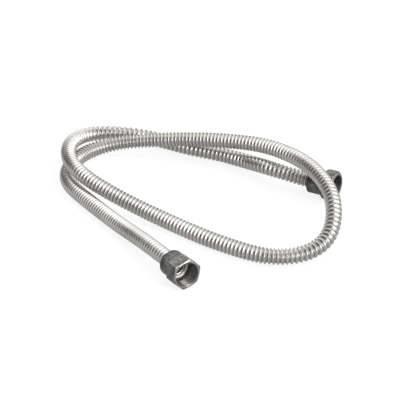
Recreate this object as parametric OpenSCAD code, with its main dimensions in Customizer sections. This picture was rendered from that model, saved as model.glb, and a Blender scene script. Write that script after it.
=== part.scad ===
// Stainless corrugated hose with a loose hexagon union nut on each end, lying in a double loop.
// Millimetres. +Z is up, z = 0 is the surface that the hose lies on, +X runs to the right.
// The origin is the middle of the floor that the laid-out hose covers.

/* [Hose] */
// Bore through the corrugated tube
bore_d = 12; // [8:0.5:12.5]
// Metal between the bore and the bottom of a groove
tube_wall = 0.6; // [0.5:0.1:0.8]
// Height of a rib above the bottom of a groove
rib_h = 1.4; // [0.8:0.1:1.6]
// Number of ribs along the hose
rib_count = 180; // [120:10:180]

/* [Union nut] */
// Size of the hexagon across its flats
nut_af = 27; // [26:0.5:30]
// Length of the hexagon
hex_len = 14; // [11:1:18]
// Width of the conical chamfer at each end of the hexagon, measured along the axis
hex_chamfer = 1.4; // [0.6:0.1:2]
// Wall of the round neck behind the hexagon
neck_wall = 1.6; // [1.2:0.1:2]
// Radius of the rounded rear edge of the neck
neck_round = 0.6; // [0.4:0.1:1.4]
// Bore of the female thread, at the tips of its thread form
thread_bore_d = 22.2; // [21:0.1:23]
// Length of the threaded stretch, with its countersink
thread_len = 13; // [10:0.5:16]
// Width of the countersink at the mouth
countersink = 0.8; // [0.5:0.1:1]
// Thickness of the inward shoulder that pulls on the collar
shoulder_len = 6.6; // [3:0.2:8]
// Distance from the mouth of the nut to the nose that seals
seat_depth = 17; // [14:0.5:20]

/* [Collar and washer] */
// Thickness of the collar's flange
flange_len = 3.5; // [2.5:0.5:5]
// Height of the raised nose on the collar
nose_len = 1.5; // [1:0.1:1.8]
// Diameter of the raised nose
nose_d = 17.2; // [15:0.2:18.4]
// Thickness of the sealing washer round the nose
washer_len = 2.2; // [1.9:0.1:3]

/* [Fits] */
// Play of the nut along the hose, behind the collar
nut_play = 0.4; // [0.3:0.1:0.8]
// Gap all round between the collar and the inside of the nut
collar_gap = 0.35; // [0.3:0.05:0.6]
// Gap all round between the hose and the hole in the nut's shoulder
hose_gap = 0.5; // [0.4:0.1:0.9]
// Gap all round between the nose and the washer
washer_gap = 0.2; // [0.1:0.05:0.4]
// Step from the threaded bore in to the plain bore of the neck
relief_step = 0.2; // [0.1:0.05:0.4]
// Height of the front nut's lowest corner above the surface
front_lift = 0.4; // [0.2:0.1:1.5]

/* [Hidden] */
$fn = 72;
cut = 1;
round_fn = 24;

hose_d = bore_d + 2 * tube_wall + 2 * rib_h;
sides = 8;
lie_z = hose_d / 2 * cos(180 / sides);

// Heights along the nut's own axis, from the end of the hose (0) towards the mouth
nose_z = flange_len + nose_len;
mouth_z = nose_z + seat_depth;
hex_z = mouth_z - hex_len;
shoulder_z = -nut_play;
nut_back_z = shoulder_z - shoulder_len;
thread_z = mouth_z - thread_len;

corner_r = nut_af / 2 / cos(30);
cavity_d = thread_bore_d - 2 * relief_step;
neck_d = cavity_d + 2 * neck_wall;
flange_d = cavity_d - 2 * collar_gap;
hex_chamfer_r = corner_r - hex_chamfer * tan(60);

// Ends of the hose: place in plan, heading of the mouth clockwise from +X, and roll of the nut.
// The front nut is held clear of the surface, and the rear nut lies on one of its flats.
front_end = [-23, -149, corner_r + front_lift];
front_heading = 59;
front_roll = 17;
rear_end = [120, 36, nut_af / 2];
rear_heading = 30;
rear_roll = 0;

// Route between the two straight ends: x, y, and height of the axis above its lying height
route = [
    [-56, -93, 6], [-76, -57, 1], [-98, -21, 0], [-119, 13, 0], [-137, 44, 0], [-140, 83, 0],
    [-122, 127, 0], [-80, 140, 5], [-35, 130, 11], [4, 117, 17], [37, 100, 22], [67, 82, 26],
    [90, 57, 28], [107, 30, 30], [121, -5, 30], [132, -46, 26], [127, -92, 6], [98, -117, 0],
    [63, -119, 0], [34, -101, 0], [4, -78, 0], [-23, -52, 0], [-54, -25, 2], [-93, -1, 12],
    [-124, 29, 19], [-139, 70, 19], [-138, 128, 14], [-108, 165, 5], [-72, 169, 0],
    [-41, 152, 0], [-12, 131, 0], [21, 117, 0], [49, 98, 0], [70, 61, 10]
];

// Straight runs at the ends: control points half a diameter apart, the first one outside the hose
function heading_dir(heading) = [cos(heading), -sin(heading), 0];
function straight_run(end, heading, steps) =
    [for (k = steps) end - k * hose_d / 2 * heading_dir(heading)];
control = concat(
    straight_run(front_end, front_heading, [-1:3]),
    [for (p = route) [p.x, p.y, p.z + lie_z]],
    straight_run(rear_end, rear_heading, [3:-1:-1])
);

// Uniform cubic B-spline through the control points: t counts its spans
spans = len(control) - 3;
function weights(f) = [pow(1 - f, 3), 3 * pow(f, 3) - 6 * f * f + 4,
                       -3 * pow(f, 3) + 3 * f * f + 3 * f + 1, pow(f, 3)] / 6;
function slopes(f) = [-(1 - f) * (1 - f), 3 * f * f - 4 * f, -3 * f * f + 2 * f + 1, f * f] / 2;
function span_of(t) = min(floor(t), spans - 1);
function span_points(t) = [for (k = [0:3]) control[span_of(t) + k]];
function axis_point(t) = weights(t - span_of(t)) * span_points(t);
function axis_dir(t) = let (d = slopes(t - span_of(t)) * span_points(t)) d / norm(d);

// Table of [length so far, t], and evenly spaced stations read from it
steps_per_span = 12;
steps = spans * steps_per_span;
trace = [for (i = [0:steps]) axis_point(i / steps_per_span)];
lengths = [for (i = 0, s = 0; i <= steps; i = i + 1,
                s = s + (i <= steps ? norm(trace[i] - trace[i - 1]) : 0)) s];
hose_len = lengths[steps];
length_table = [for (i = [0:steps]) [lengths[i], i / steps_per_span]];
stations = 2 * rib_count;
station_t = [for (i = [0:stations]) lookup(i * hose_len / stations, length_table)];
station_p = [for (t = station_t) axis_point(t)];

// One ring of the tube: its flat side faces down
function ring(i, r) =
    let (along = axis_dir(station_t[i]),
         up_raw = [0, 0, 1] - along.z * along,
         up = up_raw / norm(up_raw),
         side = cross(along, up))
    [for (k = [0:sides - 1]) let (a = (k + 0.5) * 360 / sides)
        station_p[i] + r * (cos(a) * side + sin(a) * up)];

groove_r = hose_d / 2 - rib_h;
outer_rings = [for (i = [0:stations]) each ring(i, i % 2 == 0 ? groove_r : hose_d / 2)];
inner_rings = [for (i = [0:2:stations]) each ring(i, bore_d / 2)];
inner_at = len(outer_rings);
last_outer = stations * sides;
last_inner = inner_at + rib_count * sides;

// Two triangles for each side of a band between ring a and ring b
function band(a, b) = [for (k = [0:sides - 1]) let (n = (k + 1) % sides)
    each [[a + k, b + k, b + n], [a + k, b + n, a + n]]];
hose_faces = concat(
    [for (i = [0:stations - 1]) each band(i * sides, (i + 1) * sides)],
    [for (i = [0:rib_count - 1]) each band(inner_at + (i + 1) * sides, inner_at + i * sides)],
    band(inner_at, 0),
    band(last_outer, last_inner)
);

// Least gap between stretches of the hose that are more than three diameters apart along it
apart = ceil(3 * hose_d * stations / hose_len);
least_gap = min([for (i = [0:stations - apart]) for (j = [i + apart:stations])
    norm(station_p[i] - station_p[j])]) - hose_d;
echo(str("Length of the hose: ", hose_len, " mm"));
echo(str("Least gap of the hose to itself: ", least_gap, " mm"));

module corrugated_hose() {
    color("silver") polyhedron(points = concat(outer_rings, inner_rings), faces = hose_faces);
}

// Turns a shape built along +Z, with the end of the hose at 0, to an end of the hose
module at_end(end, heading, roll) {
    translate(end) rotate([0, 0, -heading]) rotate([0, 90, 0]) rotate([0, 0, roll]) children();
}

module hexagon_body() {
    intersection() {
        translate([0, 0, hex_z]) rotate([0, 0, 30]) cylinder(r = corner_r, h = hex_len, $fn = 6);
        rotate_extrude() polygon([
            [0, hex_z],
            [hex_chamfer_r, hex_z],
            [corner_r, hex_z + hex_chamfer],
            [corner_r, mouth_z - hex_chamfer],
            [hex_chamfer_r, mouth_z],
            [0, mouth_z]
        ]);
    }
}

module round_neck() {
    rotate_extrude() union() {
        translate([0, nut_back_z + neck_round]) square([neck_d / 2, hex_z - nut_back_z - neck_round]);
        translate([0, nut_back_z]) square([neck_d / 2 - neck_round, neck_round + cut]);
        translate([neck_d / 2 - neck_round, nut_back_z + neck_round]) circle(r = neck_round, $fn = round_fn);
    }
}

module union_nut() {
    difference() {
        union() {
            hexagon_body();
            round_neck();
        }
        translate([0, 0, nut_back_z - cut])
            cylinder(d = hose_d + 2 * hose_gap, h = shoulder_len + 2 * cut);
        translate([0, 0, shoulder_z]) cylinder(d = cavity_d, h = thread_z - shoulder_z + cut);
        translate([0, 0, thread_z]) cylinder(d = thread_bore_d, h = thread_len + cut);
        translate([0, 0, mouth_z - countersink])
            cylinder(d1 = thread_bore_d, d2 = thread_bore_d + 2 * countersink, h = countersink);
    }
}

module collar() {
    difference() {
        union() {
            cylinder(d = flange_d, h = flange_len);
            cylinder(d = nose_d, h = nose_z);
        }
        translate([0, 0, -cut]) cylinder(d = bore_d, h = nose_z + 2 * cut);
    }
}

module washer() {
    translate([0, 0, flange_len]) difference() {
        cylinder(d = flange_d, h = washer_len);
        translate([0, 0, -cut]) cylinder(d = nose_d + 2 * washer_gap, h = washer_len + 2 * cut);
    }
}

module front_nut() {
    color("dimgray") at_end(front_end, front_heading, front_roll) union_nut();
}

module rear_nut() {
    color("dimgray") at_end(rear_end, rear_heading, rear_roll) union_nut();
}

module front_collar() {
    color("lightgray") at_end(front_end, front_heading, 0) collar();
}

module rear_collar() {
    color("lightgray") at_end(rear_end, rear_heading, 0) collar();
}

module front_washer() {
    color("darkslategray") at_end(front_end, front_heading, 0) washer();
}

module rear_washer() {
    color("darkslategray") at_end(rear_end, rear_heading, 0) washer();
}

corrugated_hose();
front_nut();
rear_nut();
front_collar();
rear_collar();
front_washer();
rear_washer();
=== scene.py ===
# %% [markdown]
# # A corrugated stainless hose with two union nuts
# The real thing is one thin stainless tube, rolled into a few hundred ring-shaped corrugations
# so that it bends like a rope, with a black steel union nut hanging loose on each end. It lies
# on a table in an untidy double loop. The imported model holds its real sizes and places, and this
# lesson dresses it: the hose is swept along its route with a fine rib for every real one, the
# nuts get their threads and worn edges, and each metal gets a finish of its own.
#
# The hose, its nuts and the camera are measured in millimetres, which are multiplied by MM where
# Blender takes metres. The table's width and the lamps are measured in metres.

# %% Load the frame
import math

import bpy
import numpy as np
from mathutils import Matrix, Vector


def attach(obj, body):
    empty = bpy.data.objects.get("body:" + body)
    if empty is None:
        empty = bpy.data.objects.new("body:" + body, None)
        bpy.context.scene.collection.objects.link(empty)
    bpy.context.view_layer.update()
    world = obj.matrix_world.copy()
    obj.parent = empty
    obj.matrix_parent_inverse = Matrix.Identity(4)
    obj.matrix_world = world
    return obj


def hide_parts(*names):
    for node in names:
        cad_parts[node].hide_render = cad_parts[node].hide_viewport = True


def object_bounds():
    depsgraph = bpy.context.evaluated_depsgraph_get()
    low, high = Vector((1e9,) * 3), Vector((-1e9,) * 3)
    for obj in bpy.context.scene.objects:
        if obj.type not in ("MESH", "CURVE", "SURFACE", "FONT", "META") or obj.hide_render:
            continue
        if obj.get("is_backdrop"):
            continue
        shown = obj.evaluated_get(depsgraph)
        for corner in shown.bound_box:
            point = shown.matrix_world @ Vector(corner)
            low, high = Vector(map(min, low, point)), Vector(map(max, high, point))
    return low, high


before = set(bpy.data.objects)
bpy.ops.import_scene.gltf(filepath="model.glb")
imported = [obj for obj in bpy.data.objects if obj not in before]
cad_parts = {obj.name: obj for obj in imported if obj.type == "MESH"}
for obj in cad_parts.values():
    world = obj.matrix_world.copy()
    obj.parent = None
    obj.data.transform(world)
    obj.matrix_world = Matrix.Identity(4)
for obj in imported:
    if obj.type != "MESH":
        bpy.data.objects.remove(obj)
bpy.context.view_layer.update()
print("nodes:", sorted(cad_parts))

MM = 0.001

# %% [markdown]
# ## Camera
# A long lens from 1.7 metres away keeps the near and the far end almost the same size, which is
# how small hardware is usually shown. The camera looks straight along +Y and down at 26 degrees,
# so its place follows from one distance and one angle.

# %% Camera
LOOK_AT = Vector((0.0, 21.0, 0.0)) * MM
CAMERA_DISTANCE = 1700.0 * MM
CAMERA_DOWN = math.radians(26.0)
SENSOR = 36.0
LENS = 150.3
CLIP_NEAR = 50.0 * MM
CLIP_FAR = 50000.0 * MM


def make_camera():
    data = bpy.data.cameras.new("camera")
    data.sensor_width = SENSOR
    data.lens = LENS
    data.clip_start = CLIP_NEAR
    data.clip_end = CLIP_FAR
    camera = bpy.data.objects.new("camera", data)
    back = Vector((0.0, -math.cos(CAMERA_DOWN), math.sin(CAMERA_DOWN)))
    camera.location = LOOK_AT + CAMERA_DISTANCE * back
    camera.rotation_euler = (math.pi / 2 - CAMERA_DOWN, 0.0, 0.0)
    bpy.context.collection.objects.link(camera)
    bpy.context.scene.camera = camera
    return camera


camera = make_camera()
print("camera at", [round(v, 3) for v in camera.location])

# %% [markdown]
# ## The route of the hose
# A hose this stiff doesn't fall into a neat coil: it keeps the sweep of its last few bends. The
# route is a list of control points, with a height above the lying position for
# the humps where the hose crosses over itself and over the rear nut. A Bezier curve drawn in the
# viewport could hold such a route too. A uniform cubic B-spline is used because it has no kinks:
# its curvature is continuous, like that of a springy tube. Each end runs straight for one
# diameter into its collar, which takes five control points in one line, half a diameter apart.

# %% Ends and route
HOSE_D = 16.0
LYING_Z = HOSE_D / 2
NUT_AF = 27.0
FRONT_LIFT = 0.4
# Angle at the axis of a hexagon from the middle of a flat to a corner
HALF_FLAT = math.radians(30)
CORNER_R = NUT_AF / 2 / math.cos(HALF_FLAT)

# Place of each end of the hose, heading of its mouth clockwise from +X, and roll of its nut
ENDS = {
    "front": {"place": (-23.0, -149.0, CORNER_R + FRONT_LIFT), "heading": 59.0, "roll": 17.0},
    "rear": {"place": (120.0, 36.0, NUT_AF / 2), "heading": 30.0, "roll": 0.0},
}

# Control points between the two straight ends: x, y, and height above the lying position
ROUTE = [
    (-56, -93, 6), (-76, -57, 1), (-98, -21, 0), (-119, 13, 0), (-137, 44, 0), (-140, 83, 0),
    (-122, 127, 0), (-80, 140, 5), (-35, 130, 11), (4, 117, 17), (37, 100, 22), (67, 82, 26),
    (90, 57, 28), (107, 30, 30), (121, -5, 30), (132, -46, 26), (127, -92, 6), (98, -117, 0),
    (63, -119, 0), (34, -101, 0), (4, -78, 0), (-23, -52, 0), (-54, -25, 2), (-93, -1, 12),
    (-124, 29, 19), (-139, 70, 19), (-138, 128, 14), (-108, 165, 5), (-72, 169, 0),
    (-41, 152, 0), (-12, 131, 0), (21, 117, 0), (49, 98, 0), (70, 61, 10),
]


def heading_of(end):
    """Direction in which the mouth of an end points."""
    turn = math.radians(end["heading"])
    return np.array([math.cos(turn), -math.sin(turn), 0.0])


def straight_run(end, steps):
    """Control points in line with an end, this many half diameters back from it."""
    return [np.array(end["place"]) - k * HOSE_D / 2 * heading_of(end) for k in steps]


def control_points():
    lying = [np.array([x, y, lift + LYING_Z]) for x, y, lift in ROUTE]
    start = straight_run(ENDS["front"], range(-1, 4))
    stop = straight_run(ENDS["rear"], range(3, -2, -1))
    return np.array(start + lying + stop)


print("control points:", len(control_points()))

# %% The spline
SAMPLES_PER_SPAN = 60


def shares(f):
    """What each of four neighbouring control points adds, at a fraction f of their span."""
    return np.array([(1 - f) ** 3, 3 * f**3 - 6 * f**2 + 4,
                     -3 * f**3 + 3 * f**2 + 3 * f + 1, f**3]) / 6


def spline(control):
    """Points of a uniform cubic B-spline, evenly spaced in its parameter."""
    points = [shares(f) @ control[span:span + 4]
              for span in range(len(control) - 3)
              for f in np.arange(SAMPLES_PER_SPAN) / SAMPLES_PER_SPAN]
    return np.array(points + [shares(1.0) @ control[-4:]])


centreline = spline(control_points())
steps_mm = np.linalg.norm(np.diff(centreline, axis=0), axis=1)
run_mm = np.concatenate([[0.0], np.cumsum(steps_mm)])
HOSE_LENGTH = run_mm[-1]
print("hose length: %.0f mm" % HOSE_LENGTH)

# %% [markdown]
# ## Where the ribs sit
# The corrugations aren't evenly spaced. The hose was pulled and bent by hand, so some stretches
# are opened out and others are pushed together. An array modifier would space them all alike, so
# a short table gives the rib pitch at a few places along the hose instead. Adding up one over the
# pitch gives a rib count at every point. A groove sits wherever that count passes a whole number,
# and a crest halfway between two of them.

# %% Rib pitch along the hose
# Distance from the front end in mm, and rib pitch there in mm
PITCH_TABLE = [
    (0, 4.4), (60, 4.7), (130, 4.2), (190, 4.2), (250, 4.6), (300, 4.2), (350, 3.9),
    (430, 4.15), (510, 4.3), (545, 4.7), (590, 5.4), (660, 5.7), (715, 5.4), (740, 4.4),
    (765, 3.85), (800, 4.25), (870, 4.6), (930, 4.1), (965, 4.1), (1000, 4.5), (1060, 5.2),
    (1110, 5.8), (1160, 6.0), (1200, 5.6), (1250, 5.0), (1310, 4.9), (1345, 6.0), (1380, 4.6),
    (1425, 4.2),
]
FINE_STEP = 0.25

fine_run = np.arange(0.0, HOSE_LENGTH, FINE_STEP)
fine_pitch = np.interp(fine_run, *np.array(PITCH_TABLE).T)
rib_count = np.cumsum(FINE_STEP / fine_pitch)
RIBS = int(rib_count[-1])
rib_count *= RIBS / rib_count[-1]
print("ribs:", RIBS)

# %% [markdown]
# ## One mesh for the whole hose
# Every ring of the mesh lies square to the route. The outside radius follows the rib profile and
# the inside follows it too, a wall's thickness further in, because a real corrugated hose is a
# thin sheet all the way and not a solid bar with grooves. A plain tube with a bump texture would
# be quicker, but its outline would stay smooth. The profile is a wave raised to a power, which
# leaves narrow rounded crests, like fins, and grooves that are wider than they are. A few
# hundredths of a millimetre of seeded randomness in each rib's height keeps the highlights from
# looking machine-perfect.

# %% Mesh helpers
def grid_mesh(name, rings):
    """A closed mesh from rings of equally many points, in mm; the last ring joins the first."""
    count, sides = len(rings), len(rings[0])
    faces = []
    for i in range(count):
        a, b = i * sides, (i + 1) % count * sides
        faces += [(a + k, a + (k + 1) % sides, b + (k + 1) % sides, b + k)
                  for k in range(sides)]
    mesh = bpy.data.meshes.new(name)
    mesh.from_pydata((np.concatenate(rings) * MM).tolist(), [], faces)
    mesh.update()
    if signed_volume(mesh) < 0:
        mesh.flip_normals()
    mesh.shade_smooth()
    return mesh


def signed_volume(mesh):
    """Volume inside a closed mesh, negative where its faces point inwards."""
    mesh.calc_loop_triangles()
    co = np.array([v.co for v in mesh.vertices])
    a, b, c = co[np.array([t.vertices for t in mesh.loop_triangles])].transpose(1, 0, 2)
    return np.einsum("ij,ij->i", a, np.cross(b, c)).sum() / 6


def add_value(mesh, name, values):
    """Stores one number for each vertex, for the material to read."""
    layer = mesh.attributes.new(name, "FLOAT", "POINT")
    layer.data.foreach_set("value", np.asarray(values, np.float32))


def add_vector(mesh, name, vectors):
    """Stores one place for each vertex."""
    layer = mesh.attributes.new(name, "FLOAT_VECTOR", "POINT")
    layer.data.foreach_set("vector", np.asarray(vectors, np.float32).ravel())


def add_object(name, mesh, body, node):
    """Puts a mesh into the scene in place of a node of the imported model."""
    piece = bpy.data.objects.new(name, mesh)
    bpy.context.collection.objects.link(piece)
    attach(piece, body)
    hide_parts(node)
    return piece


# %% Shape of a rib
CREST_R = HOSE_D / 2
RIB_DEPTH = 1.9
WALL = 0.2
# Power that the wave is raised to: above 1 it makes the crests narrower than the grooves
CREST_POWER = 1.7
RIB_JITTER = 0.04
JITTER_SEED = 7

rng = np.random.default_rng(JITTER_SEED)
rib_jitter = rng.normal(0.0, RIB_JITTER, RIBS + 2).clip(-2 * RIB_JITTER, 0.0)


def rib_profile(count):
    """Height above the groove, from 0 to 1, at a running rib count."""
    wave = 0.5 - 0.5 * np.cos(2 * np.pi * count)
    return wave**CREST_POWER


print("bore of the hose: %.1f mm" % (2 * (CREST_R - RIB_DEPTH - WALL)))

# %% Hose mesh
RINGS_PER_RIB = 10
SIDES = 36
# The inside, which hardly shows, takes every second ring
INNER_STEP = 2


def along_route(distance):
    """Places and unit directions of the route at these distances."""
    def read(values):
        return np.stack([np.interp(distance, run_mm, values[:, k]) for k in range(3)], axis=1)

    direction = read(np.gradient(centreline, run_mm, axis=0))
    return read(centreline), direction / np.linalg.norm(direction, axis=1)[:, None]


def square_rings(distance, radius):
    """Rings of SIDES points round the route, each square to it."""
    place, along = along_route(distance)
    up = np.array([0.0, 0.0, 1.0]) - along[:, 2:3] * along
    up /= np.linalg.norm(up, axis=1)[:, None]
    side = np.cross(along, up)
    angle = 2 * np.pi * np.arange(SIDES) / SIDES
    round_part = (np.cos(angle)[None, :, None] * side[:, None, :]
                  + np.sin(angle)[None, :, None] * up[:, None, :])
    return place[:, None, :] + radius[:, None, None] * round_part


def make_hose():
    counts = np.arange(RIBS * RINGS_PER_RIB + 1) / RINGS_PER_RIB
    distance = np.interp(counts, np.concatenate([[0.0], rib_count]),
                         np.concatenate([[0.0], fine_run + FINE_STEP]))
    distance = distance * HOSE_LENGTH / distance[-1]
    height = rib_profile(counts)
    outer_r = CREST_R - RIB_DEPTH * (1 - height) + rib_jitter[counts.astype(int)] * height
    outer = square_rings(distance, outer_r)
    # No crest reaches below the table
    outer[:, :, 2] = outer[:, :, 2].clip(0.0, None)
    inner = square_rings(distance[::-INNER_STEP], (outer_r - WALL)[::-INNER_STEP])
    mesh = grid_mesh("corrugated_tube", [*outer, *inner])
    groove = np.concatenate([1 - height, np.ones(len(inner))])
    add_value(mesh, "groove", np.repeat(groove, SIDES))
    return add_object("corrugated_tube", mesh, "hose", "corrugated_hose")


hose = make_hose()
print("hose faces:", len(hose.data.polygons))

# %% [markdown]
# ## Turned and milled parts
# The nuts, collars and washers are all built round one axis, so each is a loop of rings too: the
# loop follows the cut section of the part, over the outside, in through the mouth and back along
# the bore. Booleans could cut the same shapes from cylinders, but they leave ragged faces that
# shade badly. Small arcs at the edges catch the light as real edges do. Each end of the hose has
# its own placing matrix, which turns a part made along +Z to lie along the end of the hose.

# %% Placing parts on the ends
def end_matrix(end, rolled):
    """From a part's own axes, +Z towards the mouth and 0 at the end of the hose, to the frame."""
    roll = end["roll"] if rolled else 0.0
    return (Matrix.Translation(end["place"])
            @ Matrix.Rotation(math.radians(-end["heading"]), 4, "Z")
            @ Matrix.Rotation(math.radians(90), 4, "Y")
            @ Matrix.Rotation(math.radians(roll), 4, "Z"))


def placed(rings, matrix):
    m = np.array(matrix)
    return [ring @ m[:3, :3].T + m[:3, 3] for ring in rings]


def arc(centre_z, centre_r, radius, start, stop, steps):
    """Section points (z, r); angle 0 points outwards and 90 points towards the mouth."""
    angles = np.radians(np.linspace(start, stop, steps + 1))
    return [(centre_z + radius * math.sin(a), centre_r + radius * math.cos(a)) for a in angles]


def ring_at(z, radius, angles):
    radius = np.broadcast_to(radius, angles.shape)
    return np.stack([radius * np.cos(angles), radius * np.sin(angles),
                     np.full_like(angles, z)], axis=1)


# %% Sizes of the union nut
HEX_LEN = 14.0
HEX_CHAMFER = 1.4
CHAMFER_SLOPE = math.radians(60)
THREAD_BORE_R = 11.1
THREAD_LEN = 13.0
COUNTERSINK = 0.8
RELIEF_STEP = 0.2
NECK_WALL = 1.6
SHOULDER_LEN = 6.6
NUT_PLAY = 0.4
FLANGE_LEN = 3.5
NOSE_LEN = 1.5
SEAT_DEPTH = 17.0
HOSE_GAP = 0.5

MOUTH_Z = FLANGE_LEN + NOSE_LEN + SEAT_DEPTH
HEX_Z = MOUTH_Z - HEX_LEN
THREAD_Z = MOUTH_Z - THREAD_LEN
SHOULDER_Z = -NUT_PLAY
NUT_BACK_Z = SHOULDER_Z - SHOULDER_LEN
CAVITY_R = THREAD_BORE_R - RELIEF_STEP
NECK_R = CAVITY_R + NECK_WALL
HEX_FACE_R = CORNER_R - HEX_CHAMFER * math.tan(CHAMFER_SLOPE)
SHOULDER_HOLE_R = HOSE_D / 2 + HOSE_GAP
print("nut: %.1f mm long, mouth at %.1f mm" % (MOUTH_Z - NUT_BACK_Z, MOUTH_Z))

# %% [markdown]
# ## The hexagon
# A union nut is cut from hexagon bar and chamfered on a lathe, so each ring of this stretch is a
# hexagon with small rounded corners, trimmed by a cone near the two faces. A bevel modifier could
# round a plain hexagon, but it doesn't make the curved line where the cone meets a flat. The
# corners need closely spaced points and the flats need few, so the angles of every ring are
# bunched towards the six corners. Each point also notes how close it is to an edge, which the
# worn finish reads later.

# %% Rings of the hexagon
CORNER_ROUND = 0.7
CHAMFER_BLEND = 0.35
EDGE_WIDTH = 0.45
# Degrees to each side of a corner at which a ring has a point
CORNER_SPREAD = [0.0, 0.8, 1.6, 2.6, 4.0, 6.5, 10.0, 14.0, 18.0, 22.0, 26.0]


def nut_angles():
    spread = [-a for a in CORNER_SPREAD[:0:-1]] + CORNER_SPREAD + [30.0]
    return np.radians([corner + a for corner in range(30, 390, 60) for a in spread])


def corner_angle(angles):
    """Angle to the nearest corner, where a flat faces angle 0."""
    past_corner = (angles - HALF_FLAT) % (2 * HALF_FLAT)
    return np.minimum(past_corner, 2 * HALF_FLAT - past_corner)


def hex_radius(angles):
    """Distance from the axis to a hexagon with rounded corners."""
    from_corner = corner_angle(angles)
    flat = NUT_AF / 2 / np.cos(HALF_FLAT - from_corner)
    centre = (NUT_AF / 2 - CORNER_ROUND) / math.cos(HALF_FLAT)
    inside = (CORNER_ROUND**2 - (centre * np.sin(from_corner)) ** 2).clip(0.0, None)
    rounded = centre * np.cos(from_corner) + np.sqrt(inside)
    touch = math.atan2(CORNER_ROUND * math.sin(HALF_FLAT),
                       centre + CORNER_ROUND * math.cos(HALF_FLAT))
    return np.where(from_corner < touch, rounded, flat)


def chamfer_radius(z):
    """Radius of the cone that trims the hexagon, at a height."""
    return HEX_FACE_R + min(z - HEX_Z, MOUTH_Z - z) * math.tan(CHAMFER_SLOPE)


def soft_min(a, b, blend):
    """The smaller of two radii, with the edge between them rounded over."""
    h = np.clip(0.5 + 0.5 * (b - a) / blend, 0.0, 1.0)
    return b * (1 - h) + a * h - blend * h * (1 - h)


def hex_edge(z, angles):
    """How close a point is to a corner or to the rim of the chamfer, from 0 to 1."""
    from_corner = corner_angle(angles) * CORNER_R
    from_rim = np.abs(chamfer_radius(z) - hex_radius(angles)) * math.cos(CHAMFER_SLOPE)
    return np.exp(-((np.minimum(from_corner, from_rim) / EDGE_WIDTH) ** 2))


print("points in a ring of the nut:", len(nut_angles()))

# %% [markdown]
# ## The thread
# The thread is cut by the same rings: at each height the radius of the bore depends on the angle,
# which makes the groove climb round the bore as a real thread does. A bump texture could stand
# in for it, but in the open mouth the turns shade each other, which a bump can't do.

# %% Rings of the thread
THREAD_PITCH = 25.4 / 16
THREAD_DEPTH = 0.8
# Shape of one turn: how far along the turn, and how deep from 0 to 1
THREAD_FORM = ([0.0, 0.2, 0.5, 0.62, 0.92, 1.0], [0.0, 0.0, 1.0, 1.0, 0.0, 0.0])
# Turns over which the groove runs out at its inner end
THREAD_RUNOUT = 1.2


def thread_radius(z, angles):
    """Radius of the bore at a height: the groove of the thread, or the countersink."""
    phase = (z / THREAD_PITCH - angles / (2 * np.pi)) % 1.0
    groove = np.interp(phase, *THREAD_FORM)
    fade = np.clip((z - THREAD_Z) / (THREAD_RUNOUT * THREAD_PITCH), 0.0, 1.0)
    countersunk = THREAD_BORE_R + (z - (MOUTH_Z - COUNTERSINK))
    return np.maximum(THREAD_BORE_R + THREAD_DEPTH * groove * fade, countersunk)


print("turns of the thread: %.1f" % (THREAD_LEN / THREAD_PITCH))

# %% [markdown]
# ## The union nuts
# Each nut hangs loose on the hose. The hexagon is for the spanner, the round neck behind it
# covers the collar, and the shoulder, an inward rim at the back of the neck, pulls on it. A
# hexagon joined to a tube would leave a seam between two meshes, so the rings simply go on from
# one form to the next, each with as many points as the one before. The two nuts are alike, and a
# loop makes both.

# %% Union nuts
NECK_ROUND = 0.6
NECK_FILLET = 0.3
HOLE_ROUND = 0.4
CAVITY_FILLET = 0.2
RIM_ROUND = 0.12
RIM_INSET = 0.18
LIP_ROUND = 0.1
CREST_BAND = 0.15
RINGS_PER_TURN = 10
# How far inside its ends each plain stretch has its first and last ring
BACK_MARGIN = 1.2
NECK_MARGIN = 0.5
FLAT_MARGIN = 2.2
CAVITY_MARGIN = 0.3
# Distances from each face of the hexagon at which there is a ring, close together over the chamfer
FACE_STEPS = [0.0, 0.05, 0.1, 0.16, 0.24, 0.34, 0.46, 0.6, 0.75, 0.9, 1.05, 1.2, 1.35, 1.5, 1.7]
# How rubbed each edge or face is, from 0 to 1
RUBBED = {"back_hole": 0.6, "neck": 0.35, "rim": 1.0, "mouth_face": 0.8, "thread_crest": 0.25,
          "shoulder_hole": 0.4}


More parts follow.
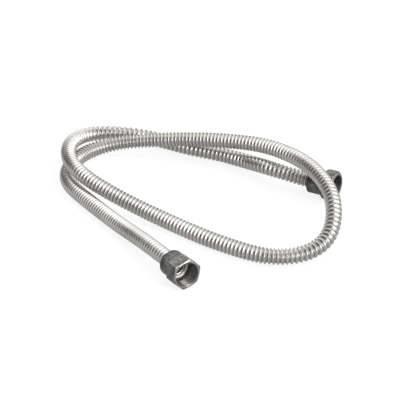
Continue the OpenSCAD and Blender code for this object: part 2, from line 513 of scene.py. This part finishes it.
def nut_rings():
    """The rings in order from the back over the outside, and how rubbed each point is."""
    angles = nut_angles()
    rings, rubbed = [], []

    def add(points, amount=0.0):
        for z, radius in points:
            rings.append(ring_at(z, radius, angles))
            rubbed.append(np.broadcast_to(amount, angles.shape))

    def add_tube(radius, start, stop, count):
        add([(z, radius) for z in np.linspace(start, stop, count)])

    def add_hexagon(heights):
        for z in heights:
            radius = soft_min(hex_radius(angles), chamfer_radius(z), CHAMFER_BLEND)
            add([(z, radius)], hex_edge(z, angles))

    hole_r = SHOULDER_HOLE_R + HOLE_ROUND
    lip_r = THREAD_BORE_R + COUNTERSINK
    add(arc(NUT_BACK_Z + HOLE_ROUND, hole_r, HOLE_ROUND, 180, 270, 4), RUBBED["back_hole"])
    add(arc(NUT_BACK_Z + NECK_ROUND, NECK_R - NECK_ROUND, NECK_ROUND, -90, 0, 6),
        RUBBED["neck"])
    add_tube(NECK_R, NUT_BACK_Z + BACK_MARGIN, HEX_Z - NECK_MARGIN, 10)
    add(arc(HEX_Z - NECK_FILLET, NECK_R + NECK_FILLET, NECK_FILLET, 180, 90, 3))
    add_hexagon([HEX_Z + step for step in FACE_STEPS])
    add_hexagon(np.linspace(HEX_Z + FLAT_MARGIN, MOUTH_Z - FLAT_MARGIN, 9))
    # The rounded rim takes the place of the last step, so that one is left out
    add_hexagon([MOUTH_Z - step for step in FACE_STEPS[:0:-1]])
    add(arc(MOUTH_Z - RIM_ROUND, HEX_FACE_R - RIM_INSET, RIM_ROUND, 30, 90, 3), RUBBED["rim"])
    add([(MOUTH_Z, (HEX_FACE_R + lip_r) / 2)], RUBBED["mouth_face"])
    add(arc(MOUTH_Z - LIP_ROUND, lip_r + LIP_ROUND, LIP_ROUND, 90, 150, 3), RUBBED["rim"])
    for z in np.arange(MOUTH_Z - 2 * LIP_ROUND, THREAD_Z, -THREAD_PITCH / RINGS_PER_TURN):
        radius = thread_radius(z, angles)
        on_crest = radius < THREAD_BORE_R + CREST_BAND
        add([(z, radius)], RUBBED["thread_crest"] * on_crest)
    add_tube(CAVITY_R, THREAD_Z, SHOULDER_Z + CAVITY_MARGIN, 6)
    add(arc(SHOULDER_Z + CAVITY_FILLET, CAVITY_R - CAVITY_FILLET, CAVITY_FILLET, 0, -90, 3))
    add(arc(SHOULDER_Z - HOLE_ROUND, hole_r, HOLE_ROUND, 90, 180, 4), RUBBED["shoulder_hole"])
    add_tube(SHOULDER_HOLE_R, SHOULDER_Z - BACK_MARGIN, NUT_BACK_Z + BACK_MARGIN, 3)
    return rings, np.concatenate(rubbed)


def make_nut(end_name):
    rings, rubbed = nut_rings()
    own = np.concatenate(rings)
    # The bore counts as thread out to a little past the bottom of its groove
    in_bore = np.hypot(own[:, 0], own[:, 1]) < THREAD_BORE_R + 1.5 * THREAD_DEPTH
    turned = placed(rings, end_matrix(ENDS[end_name], rolled=True))
    mesh = grid_mesh(end_name + "_union_nut", turned)
    add_value(mesh, "edge", rubbed)
    add_value(mesh, "axial", own[:, 2] * MM)
    add_value(mesh, "thread", (own[:, 2] > FLANGE_LEN) & in_bore)
    add_vector(mesh, "bar_place", own * MM)
    node = end_name + "_nut"
    return add_object(end_name + "_union_nut", mesh, node, node)


nuts = {name: make_nut(name) for name in ENDS}
print("nut faces:", len(nuts["front"].data.polygons))

# %% [markdown]
# ## Collars
# Inside each nut a turned stainless collar is welded to the end of the hose. Its flange is what
# the nut pulls on, and its raised nose centres the sealing washer. A screw modifier could spin
# the section of a collar, as a lathe does. The section is swept ring by ring because the weld
# isn't a turned form: it is a narrow bead with a welder's ripples, so its radius changes with
# the angle.

# %% Rings round the axis
PART_SIDES = 96


def make_part(name, section, end_name, node, ripple=None):
    """A ring-shaped part from its closed section, given as (z, r) points."""
    angles = 2 * np.pi * np.arange(PART_SIDES) / PART_SIDES
    rings = [ring_at(z, r if ripple is None else r + ripple(z, r, angles), angles)
             for z, r in section]
    mesh = grid_mesh(name, placed(rings, end_matrix(ENDS[end_name], rolled=False)))
    add_value(mesh, "radial", np.repeat([r * MM for _, r in section], PART_SIDES))
    return add_object(name, mesh, "hose", node)


# %% Collars
COLLAR_GAP = 0.35
FLANGE_R = CAVITY_R - COLLAR_GAP
NOSE_R = 8.6
BORE_R = 6.0
FLANGE_ROUND = 0.3
NOSE_FILLET = 0.2
NOSE_ROUND = 0.5
BORE_ROUND = 0.4
WELD_BEAD_R = 0.45
WELD_INSET = 0.75
WELD_TOE = 0.1
# The ripples: how many, how high, and the ring that they are on
WELD_RIPPLES = 34
RIPPLE_HEIGHT = 0.06
RIPPLE_R = CREST_R - 0.55
RIPPLE_HALF_WIDTH = 0.5
RIPPLE_TOP_Z = 0.05
# Heights of the rings on the plain stretches of the flange and of the bore
FLANGE_RING_Z = 1.5
BORE_RINGS_Z = (3.4, 2.2, 1.0)


def collar_section():
    nose_z = FLANGE_LEN + NOSE_LEN
    flange_r = FLANGE_R - FLANGE_ROUND
    section = arc(FLANGE_ROUND, BORE_R + FLANGE_ROUND, FLANGE_ROUND, 180, 270, 3)
    section += arc(0.0, CREST_R - WELD_INSET, WELD_BEAD_R, -90, 0, 5)
    section += [(WELD_TOE, CREST_R + WELD_TOE)]
    section += arc(FLANGE_ROUND, flange_r, FLANGE_ROUND, -90, 0, 3)
    section += [(FLANGE_RING_Z, FLANGE_R)]
    section += arc(FLANGE_LEN - FLANGE_ROUND, flange_r, FLANGE_ROUND, 0, 90, 3)
    section += arc(FLANGE_LEN + NOSE_FILLET, NOSE_R + NOSE_FILLET, NOSE_FILLET, 270, 180, 3)
    section += arc(nose_z - NOSE_ROUND, NOSE_R - NOSE_ROUND, NOSE_ROUND, 0, 90, 5)
    section += [(nose_z, (NOSE_R + BORE_R) / 2)]
    section += arc(nose_z - BORE_ROUND, BORE_R + BORE_ROUND, BORE_ROUND, 90, 180, 4)
    return section + [(z, BORE_R) for z in BORE_RINGS_Z]


def weld_ripple(z, r, angles):
    if z >= RIPPLE_TOP_Z:
        return 0.0
    on_bead = max(0.0, 1 - abs(r - RIPPLE_R) / RIPPLE_HALF_WIDTH)
    return RIPPLE_HEIGHT * on_bead * np.cos(WELD_RIPPLES * angles)


collars = {name: make_part(name + "_weld_collar", collar_section(), name,
                           name + "_collar", weld_ripple) for name in ENDS}
print("collars:", [collar.name for collar in collars.values()])

# %% [markdown]
# ## Washers
# A flat silicone ring round the collar's nose makes the seal. Looking into the nut's mouth, the
# nose and the pale washer are a bright ring at the bottom of a dark bore, with a thin black line
# round it where the washer stops short of the nut. A cylinder with a hole cut in it would have
# hard edges, so the washer is swept like the collar, with a small arc at each of its corners.

# %% Washers
WASHER_LEN = 2.2
WASHER_GAP = 0.2
WASHER_ROUND = 0.2


def washer_section():
    inner_r = NOSE_R + WASHER_GAP
    low_z = FLANGE_LEN + WASHER_ROUND
    high_z = FLANGE_LEN + WASHER_LEN - WASHER_ROUND
    section = arc(low_z, inner_r + WASHER_ROUND, WASHER_ROUND, 180, 270, 3)
    section += arc(low_z, FLANGE_R - WASHER_ROUND, WASHER_ROUND, -90, 0, 3)
    section += arc(high_z, FLANGE_R - WASHER_ROUND, WASHER_ROUND, 0, 90, 3)
    section += [(FLANGE_LEN + WASHER_LEN, (inner_r + FLANGE_R) / 2)]
    section += arc(high_z, inner_r + WASHER_ROUND, WASHER_ROUND, 90, 180, 3)
    return section


washers = {name: make_part(name + "_seal_washer", washer_section(), name,
                           name + "_washer") for name in ENDS}
print("washers:", [washer.name for washer in washers.values()])

# %% [markdown]
# ## Points along the hose
# The route is read at evenly spaced points over the whole length of the hose.

CORD_POINTS = 240
cord_path, _ = along_route(np.linspace(0.0, HOSE_LENGTH, CORD_POINTS))
print("cord declared along", CORD_POINTS, "points")

# %% [markdown]
# ## Shared effects
# A fine grain is part of every finish, and the faint rings that a lathe leaves are part of two.
# Their nodes could be copied into each material, but a copy is easily forgotten when the effect
# is changed, so each is a node group with named sockets. Wear on the edges, which only the nuts
# have, is a group too, to keep their material readable. A group only puts out values that change
# over the surface. The shader itself, with the numbers that are the same all over, stays in each
# material.

# %% Node helpers
FULL_RANGE = (0.0, 1.0)
# Most values of a noise texture lie in this range
NOISE_RANGE = (0.3, 0.7)
# Where a Mix node keeps its two values and its result, for numbers and for colours
MIX_SOCKETS = {"FLOAT": (2, 3, 0), "RGBA": (6, 7, 2)}


def set_input(tree, socket, value):
    """Links an input to another socket, or sets it to a plain value."""
    if isinstance(value, bpy.types.NodeSocket):
        tree.links.new(value, socket)
    else:
        socket.default_value = value


def add_node(tree, kind, inputs=None, **settings):
    """A node with its settings and inputs."""
    node = tree.nodes.new(kind)
    for key, value in settings.items():
        setattr(node, key, value)
    for key, value in (inputs or {}).items():
        set_input(tree, node.inputs[key], value)
    return node


def calculate(tree, operation, first, second):
    node = add_node(tree, "ShaderNodeMath", {0: first, 1: second}, operation=operation)
    return node.outputs[0]


def remap(tree, value, old_range, new_range=FULL_RANGE):
    """Stretches one range of numbers to another, and holds what lies outside it at its ends."""
    node = add_node(tree, "ShaderNodeMapRange", {
        "Value": value, "From Min": old_range[0], "From Max": old_range[1],
        "To Min": new_range[0], "To Max": new_range[1]})
    return node.outputs["Result"]


def blend(tree, kind, share, first, second):
    """Two numbers (FLOAT) or two colours (RGBA): share 0 gives the first, 1 the second."""
    a, b, result = MIX_SOCKETS[kind]
    node = add_node(tree, "ShaderNodeMix", {0: share, a: first, b: second}, data_type=kind)
    return node.outputs[result]


def add_noise(tree, place, scale, detail):
    node = add_node(tree, "ShaderNodeTexNoise",
                    {"Vector": place, "Scale": scale, "Detail": detail})
    return node.outputs["Fac"]


def object_place(tree):
    return add_node(tree, "ShaderNodeTexCoord").outputs["Object"]


# %% Group helpers
def new_group(name, inputs, outputs):
    """A node group with number inputs, given with their defaults, and number outputs."""
    group = bpy.data.node_groups.new(name, "ShaderNodeTree")
    for label, default in inputs.items():
        socket = group.interface.new_socket(name=label, in_out="INPUT",
                                            socket_type="NodeSocketFloat")
        socket.default_value = default
    for label in outputs:
        group.interface.new_socket(name=label, in_out="OUTPUT", socket_type="NodeSocketFloat")
    return group, group.nodes.new("NodeGroupInput"), group.nodes.new("NodeGroupOutput")


def place_group(tree, group, inputs):
    return add_node(tree, "ShaderNodeGroup", inputs, node_tree=group)


# %% Fine grain
PATCH_RANGE = (0.35, 0.65)


def make_grain_group():
    """Speckle is fine noise for roughness and bumps, and Patches a soft mask from 0 to 1."""
    group, source, sink = new_group("fine_grain", {"Scale": 900.0, "Patch Scale": 60.0},
                                    ["Speckle", "Patches"])
    place = object_place(group)
    speckle = add_noise(group, place, source.outputs["Scale"], detail=3.0)
    patches = add_noise(group, place, source.outputs["Patch Scale"], detail=4.0)
    group.links.new(speckle, sink.inputs["Speckle"])
    group.links.new(remap(group, patches, PATCH_RANGE), sink.inputs["Patches"])
    return group


# %% Edge wear
WORN_THROUGH = (0.12, 0.45)


def make_wear_group():
    """Broken wear: noise eats away an edge value until only rubbed places are left."""
    group, source, sink = new_group("edge_wear", {"Edge": 0.0, "Amount": 0.5, "Scale": 700.0},
                                    ["Mask"])
    noise = add_noise(group, object_place(group), source.outputs["Scale"], detail=5.0)
    eaten = calculate(group, "MULTIPLY", source.outputs["Edge"], noise)
    lifted = calculate(group, "MULTIPLY", eaten, source.outputs["Amount"])
    group.links.new(remap(group, lifted, WORN_THROUGH), sink.inputs["Mask"])
    return group


# %% Turning marks
def make_turning_group():
    """Fine rings round the axis, from a value that runs along it or out from it."""
    group, source, sink = new_group("turning_marks", {"Along": 0.0, "Rings": 4000.0},
                                    ["Height"])
    scaled = calculate(group, "MULTIPLY", source.outputs["Along"], source.outputs["Rings"])
    marks = add_node(group, "ShaderNodeTexNoise", {"W": scaled, "Scale": 1.0, "Detail": 2.0},
                     noise_dimensions="1D")
    group.links.new(marks.outputs["Fac"], sink.inputs["Height"])
    return group


grain_group = make_grain_group()
wear_group = make_wear_group()
turning_group = make_turning_group()
print("groups:", [g.name for g in bpy.data.node_groups])

# %% Material helpers
def new_material(name):
    material = bpy.data.materials.new(name)
    material.use_nodes = True
    tree = material.node_tree
    return material, tree, tree.nodes["Principled BSDF"]


def set_shader(tree, shader, values):
    for label, value in values.items():
        set_input(tree, shader.inputs[label], value)


def add_bump(tree, shader, height, strength, distance):
    bump = add_node(tree, "ShaderNodeBump",
                    {"Height": height, "Strength": strength, "Distance": distance})
    tree.links.new(bump.outputs["Normal"], shader.inputs["Normal"])


def read_value(tree, name):
    """A number that add_value stored in the mesh."""
    return add_node(tree, "ShaderNodeAttribute", attribute_name=name).outputs["Fac"]


def finish_pieces(pieces, material):
    for piece in pieces:
        piece.data.materials.append(material)
    print(material.name, "on", [piece.name for piece in pieces])


# %% [markdown]
# ## Bright stainless of the hose
# Bright annealed stainless is a pale, slightly warm metal. What makes the hose read as a hose is
# the light and dark of its ribs, and most of that comes from the geometry. The material adds
# painted shade: the colour darkens towards the bottom of each groove, on top of the shade that
# the mesh casts there. The grooves are also a little less shiny, as a thin layer of drawing oil
# and dust makes them. The mesh stores its groove depth at each point, so neither needs a mask.

# %% Hose finish
STEEL_CREST = (0.88, 0.865, 0.84, 1.0)
# Darker colour at the bottom of a groove: painted shade, not a colour of the steel
GROOVE_SHADE = (0.42, 0.407, 0.39, 1.0)
STEEL_PATCH = (0.75, 0.73, 0.7, 1.0)
# Depths in a groove, from 0 on a crest to 1 at the bottom, over which each change happens
SHADE_DEPTHS = (0.55, 1.0)
DULL_DEPTHS = (0.2, 0.9)
METAL_DEPTHS = (0.4, 0.9)
# From a crest to the bottom of a groove, and what the speckle adds to the roughness
HOSE_ROUGHNESS = (0.17, 0.3)
HOSE_METALLIC = (1.0, 0.92)
SPECKLE_ROUGHNESS = (0.0, 0.08)


def hose_steel():
    material, tree, shader = new_material("bright_annealed_stainless")
    groove = read_value(tree, "groove")
    grain = place_group(tree, grain_group, {"Scale": 1400.0, "Patch Scale": 35.0})
    speckle = grain.outputs["Speckle"]
    # Painted shade: the colour darkens from the steel towards the bottom of each groove
    groove_shade = remap(tree, groove, SHADE_DEPTHS)
    metal = blend(tree, "RGBA", grain.outputs["Patches"], STEEL_CREST, STEEL_PATCH)
    dull = remap(tree, groove, DULL_DEPTHS, HOSE_ROUGHNESS)
    added = remap(tree, speckle, NOISE_RANGE, SPECKLE_ROUGHNESS)
    set_shader(tree, shader, {
        "Base Color": blend(tree, "RGBA", groove_shade, metal, GROOVE_SHADE),
        "Roughness": calculate(tree, "ADD", dull, added),
        "Metallic": remap(tree, groove, METAL_DEPTHS, HOSE_METALLIC),
    })
    add_bump(tree, shader, speckle, strength=0.12, distance=0.05 * MM)
    return material


finish_pieces([hose], hose_steel())


# %% [markdown]
# ## Black oxide of the nuts
# Black oxide is a thin conversion layer, so the steel still shines through it. The bar that the
# nuts were cut from leaves faint streaks along their length, bare steel shows where spanners rub
# the corners and round the mouth, and the threads, which are hardly rubbed, keep an even, dark
# oxide. A dark paint without metal under it would look like plastic, so the layer stays a metal
# with a dark colour.

# %% Nut finish
OXIDE_DARK = (0.085, 0.083, 0.081, 1.0)
OXIDE_LIGHT = (0.46, 0.45, 0.437, 1.0)
BARE_STEEL = (0.49, 0.48, 0.467, 1.0)
THREAD_OXIDE = (0.14, 0.132, 0.128, 1.0)
THREAD_COVER = 0.9
OXIDE_ROUGHNESS = (0.26, 0.36)
# From oxide to worn steel
OXIDE_METALLIC = (0.9, 1.0)
# A noise that changes slowly along the bar turns into streaks
STREAK_STRETCH = (1.0, 1.0, 0.12)
STREAK_SCALE = 1500.0


def oxide_colour(tree, patches, worn):
    bar_place = add_node(tree, "ShaderNodeAttribute", attribute_name="bar_place")
    stretched = add_node(tree, "ShaderNodeVectorMath",
                         {0: bar_place.outputs["Vector"], 1: STREAK_STRETCH},
                         operation="MULTIPLY")
    streaks = add_noise(tree, stretched.outputs["Vector"], STREAK_SCALE, detail=3.0)
    mottle = calculate(tree, "MULTIPLY", remap(tree, streaks, NOISE_RANGE), patches)
    outside = blend(tree, "RGBA", mottle, OXIDE_DARK, OXIDE_LIGHT)
    thread = remap(tree, read_value(tree, "thread"), FULL_RANGE, (0.0, THREAD_COVER))
    oxide = blend(tree, "RGBA", thread, outside, THREAD_OXIDE)
    return blend(tree, "RGBA", worn, oxide, BARE_STEEL)


def nut_oxide():
    material, tree, shader = new_material("black_oxide_steel")
    grain = place_group(tree, grain_group, {"Scale": 1100.0, "Patch Scale": 90.0})
    wear = place_group(tree, wear_group,
                       {"Edge": read_value(tree, "edge"), "Amount": 1.0, "Scale": 650.0})
    turning = place_group(tree, turning_group,
                          {"Along": read_value(tree, "axial"), "Rings": 5200.0})
    patches, worn = grain.outputs["Patches"], wear.outputs["Mask"]
    set_shader(tree, shader, {
        "Base Color": oxide_colour(tree, patches, worn),
        "Roughness": remap(tree, patches, FULL_RANGE, OXIDE_ROUGHNESS),
        "Metallic": remap(tree, worn, FULL_RANGE, OXIDE_METALLIC),
    })
    height = calculate(tree, "ADD", grain.outputs["Speckle"], turning.outputs["Height"])
    add_bump(tree, shader, height, strength=0.25, distance=0.06 * MM)
    return material


finish_pieces(nuts.values(), nut_oxide())


# %% [markdown]
# ## Turned stainless of the collars
# A lathe tool leaves fine rings on the face of the collar's nose, which is what shows at the
# bottom of the bore. An anisotropic shader could stretch the highlights round the axis, but the
# rings themselves would be missing. They follow the distance from the axis that the mesh stores,
# so they stay round however the part is turned.

# %% Collar finish
TURNED_ROUGHNESS = (0.22, 0.42)


def collar_steel():
    material, tree, shader = new_material("turned_stainless")
    grain = place_group(tree, grain_group, {"Scale": 1600.0, "Patch Scale": 80.0})
    turning = place_group(tree, turning_group,
                          {"Along": read_value(tree, "radial"), "Rings": 6500.0})
    marks = turning.outputs["Height"]
    set_shader(tree, shader, {
        "Base Color": blend(tree, "RGBA", grain.outputs["Patches"], STEEL_CREST, STEEL_PATCH),
        "Roughness": remap(tree, marks, NOISE_RANGE, TURNED_ROUGHNESS),
        "Metallic": 1.0,
    })
    add_bump(tree, shader, marks, strength=0.2, distance=0.04 * MM)
    return material


finish_pieces(collars.values(), collar_steel())


# %% [markdown]
# ## Silicone of the washers
# The sealing washer is pale grey silicone: matt, slightly cloudy, and with a dusty speckle. Light
# scattered under the surface could be added, but at this size, deep in the bore, it wouldn't show,
# so the cloudiness is a soft change of colour.

# %% Washer finish
SILICONE_GREY = (0.7, 0.69, 0.67, 1.0)
SILICONE_PALE = (0.84, 0.83, 0.81, 1.0)
SILICONE_ROUGHNESS = (0.55, 0.8)
SILICONE_SPECULAR = 0.4


def washer_silicone():
    material, tree, shader = new_material("sealing_silicone")
    grain = place_group(tree, grain_group, {"Scale": 2200.0, "Patch Scale": 260.0})
    speckle = grain.outputs["Speckle"]
    set_shader(tree, shader, {
        "Base Color": blend(tree, "RGBA", grain.outputs["Patches"], SILICONE_GREY,
                            SILICONE_PALE),
        "Roughness": remap(tree, speckle, NOISE_RANGE, SILICONE_ROUGHNESS),
        "Specular IOR Level": SILICONE_SPECULAR,
    })
    add_bump(tree, shader, speckle, strength=0.3, distance=0.1 * MM)
    return material


finish_pieces(washers.values(), washer_silicone())

# %% [markdown]
# ## Table
# The table has to look plain white and still keep the soft shadow under the hose. A white table
# would throw so much light up that the hose looked flat. So its paint is a mid grey, and a white
# glow is added for what the camera sees directly, with a share of that glow for what the metal
# sees.

# %% Table
TABLE_SIZE = 8.0
TABLE_DROP = -0.15 * MM
TABLE_GREY = (0.2, 0.2, 0.2, 1.0)
TABLE_ROUGHNESS = 0.8
TABLE_SPECULAR = 0.1
TABLE_GLOW = 0.86
TABLE_GLOSSY_SHARE = 0.35
WHITE = (1.0, 1.0, 1.0, 1.0)


def seen_directly(tree, glossy_share):
    """1 for camera and transmission rays, a share for glossy rays, and 0 for other rays."""
    path = add_node(tree, "ShaderNodeLightPath")
    glossy = calculate(tree, "MULTIPLY", path.outputs["Is Glossy Ray"], glossy_share)
    straight = calculate(tree, "MAXIMUM", path.outputs["Is Camera Ray"],
                         path.outputs["Is Transmission Ray"])
    return calculate(tree, "MAXIMUM", glossy, straight)


def table_material():
    material, tree, shader = new_material("white_table")
    set_shader(tree, shader, {"Base Color": TABLE_GREY, "Roughness": TABLE_ROUGHNESS,
                              "Specular IOR Level": TABLE_SPECULAR})
    strength = calculate(tree, "MULTIPLY", seen_directly(tree, TABLE_GLOSSY_SHARE), TABLE_GLOW)
    glow = add_node(tree, "ShaderNodeEmission", {"Color": WHITE, "Strength": strength})
    both = add_node(tree, "ShaderNodeAddShader", {0: shader.outputs[0], 1: glow.outputs[0]})
    tree.links.new(both.outputs[0], tree.nodes["Material Output"].inputs["Surface"])
    return material


def make_table():
    half = TABLE_SIZE / 2
    mesh = bpy.data.meshes.new("table")
    mesh.from_pydata([(-half, -half, TABLE_DROP), (half, -half, TABLE_DROP),
                      (half, half, TABLE_DROP), (-half, half, TABLE_DROP)], [], [(0, 1, 2, 3)])
    mesh.materials.append(table_material())
    table = bpy.data.objects.new("table", mesh)
    bpy.context.collection.objects.link(table)
    table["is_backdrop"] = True


make_table()
print("table:", TABLE_SIZE, "m across")

# %% [markdown]
# ## Room
# An evenly white room makes a shiny hose look flat too. So the room is a plain light grey with
# cards set round it, as a product studio sets them round a shiny subject: a bright ceiling, a
# small bright window to the right, a low panel in front, a grey card behind, and black cards on
# the left and above the camera, which put the dark lines into the ribs. Each card could be a
# glowing plane, but a soft-edged patch of the room's own background never gets into view. The
# cards light the hose and show in the metal, and the camera itself sees plain white.

# %% Room
ROOM_LEVEL = 0.82
ROOM_GLOSSY_SHARE = 0.05
# Name, direction, cosines of the angles where it starts and where it is full, and its brightness
CARDS = [
    ("ceiling", (0, 0, 1), 0.5, 0.82, 1.2),
    ("black_card_above", (-0.42, -0.6, 0.68), 0.77, 0.92, 0.06),
    ("front_panel", (0.42, -0.88, 0.24), 0.87, 0.95, 1.9),
    ("window", (0.75, -0.545, 0.375), 0.93, 0.985, 3.2),
    ("black_card_left", (-0.86, -0.49, 0.15), 0.68, 0.92, 0.02),
    ("grey_card_behind", (0.7, 0.7, 0.1), 0.86, 0.97, 0.3),
]


def add_card(tree, direction, lit, towards, start, full, level):
    """Lays one card over the brightness so far."""
    aim = add_node(tree, "ShaderNodeVectorMath",
                   {0: direction, 1: Vector(towards).normalized()}, operation="DOT_PRODUCT")
    share = add_node(tree, "ShaderNodeMapRange",
                     {"Value": aim.outputs["Value"], "From Min": start, "From Max": full},
                     interpolation_type="SMOOTHSTEP")
    return blend(tree, "FLOAT", share.outputs["Result"], lit, level)


def make_room():
    world = bpy.data.worlds.new("room")
    bpy.context.scene.world = world
    world.use_nodes = True
    tree = world.node_tree
    direction = add_node(tree, "ShaderNodeTexCoord").outputs["Generated"]
    lit = ROOM_LEVEL
    for _, *card in CARDS:
        lit = add_card(tree, direction, lit, *card)
    seen = blend(tree, "RGBA", seen_directly(tree, ROOM_GLOSSY_SHARE), lit, WHITE)
    tree.links.new(seen, tree.nodes["Background"].inputs["Color"])


make_room()
print("cards:", [card[0] for card in CARDS])

# %% [markdown]
# ## Lamps
# One weak softbox high on the right gives the soft shadow its direction. Soft light hardly reaches
# into a dark bore, and a stronger softbox would only flatten the hose. A studio would send in a
# lamp with a snoot, so a spot with a beam of a single degree, three metres away, lights the lower
# threads of the near nut.

# %% Lamps
SOFTBOX_PLACE = Vector((0.62, -0.85, 1.1))
SOFTBOX_SIZE = (1.1, 0.8)
SOFTBOX_POWER = 0.5
SPOT_TOWARDS = Vector((0.68, -0.62, 0.42))
SPOT_DISTANCE = 3.0
SPOT_POWER = 230.0
SPOT_BEAM = math.radians(1.0)
SPOT_EDGE = 0.6
SPOT_RADIUS = 0.01
# How far inside the mouth the spot is aimed
SPOT_DEPTH = 5.5


def add_lamp(name, kind, place, from_target, **settings):
    """A lamp at a place; from_target points from what it lights back to it."""
    data = bpy.data.lights.new(name, kind)
    for key, value in settings.items():
        setattr(data, key, value)
    lamp = bpy.data.objects.new(name, data)
    lamp.location = place
    lamp.rotation_euler = from_target.to_track_quat("Z", "Y").to_euler()
    bpy.context.collection.objects.link(lamp)


def mouth_middle(end):
    depth = MOUTH_Z - SPOT_DEPTH
    return (Vector(end["place"]) + depth * Vector(heading_of(end))) * MM


add_lamp("key_softbox", "AREA", SOFTBOX_PLACE, SOFTBOX_PLACE - LOOK_AT, shape="RECTANGLE",
         size=SOFTBOX_SIZE[0], size_y=SOFTBOX_SIZE[1], energy=SOFTBOX_POWER)
add_lamp("mouth_spot", "SPOT",
         mouth_middle(ENDS["front"]) + SPOT_DISTANCE * SPOT_TOWARDS.normalized(), SPOT_TOWARDS,
         energy=SPOT_POWER, spot_size=SPOT_BEAM, spot_blend=SPOT_EDGE,
         shadow_soft_size=SPOT_RADIUS)
bpy.context.scene.view_settings.view_transform = "Standard"
print("lamps:", [lamp.name for lamp in bpy.data.lights])

# %% [markdown]
# ## Measure and finish
# The dressed model must stay the size of the imported one, so the size of the dressed
# pieces is printed.

# %% Sizes and the last line
bpy.context.view_layer.update()
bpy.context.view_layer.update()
low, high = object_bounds()
print("size of the dressed part (mm):", [round(v / MM, 1) for v in high - low])
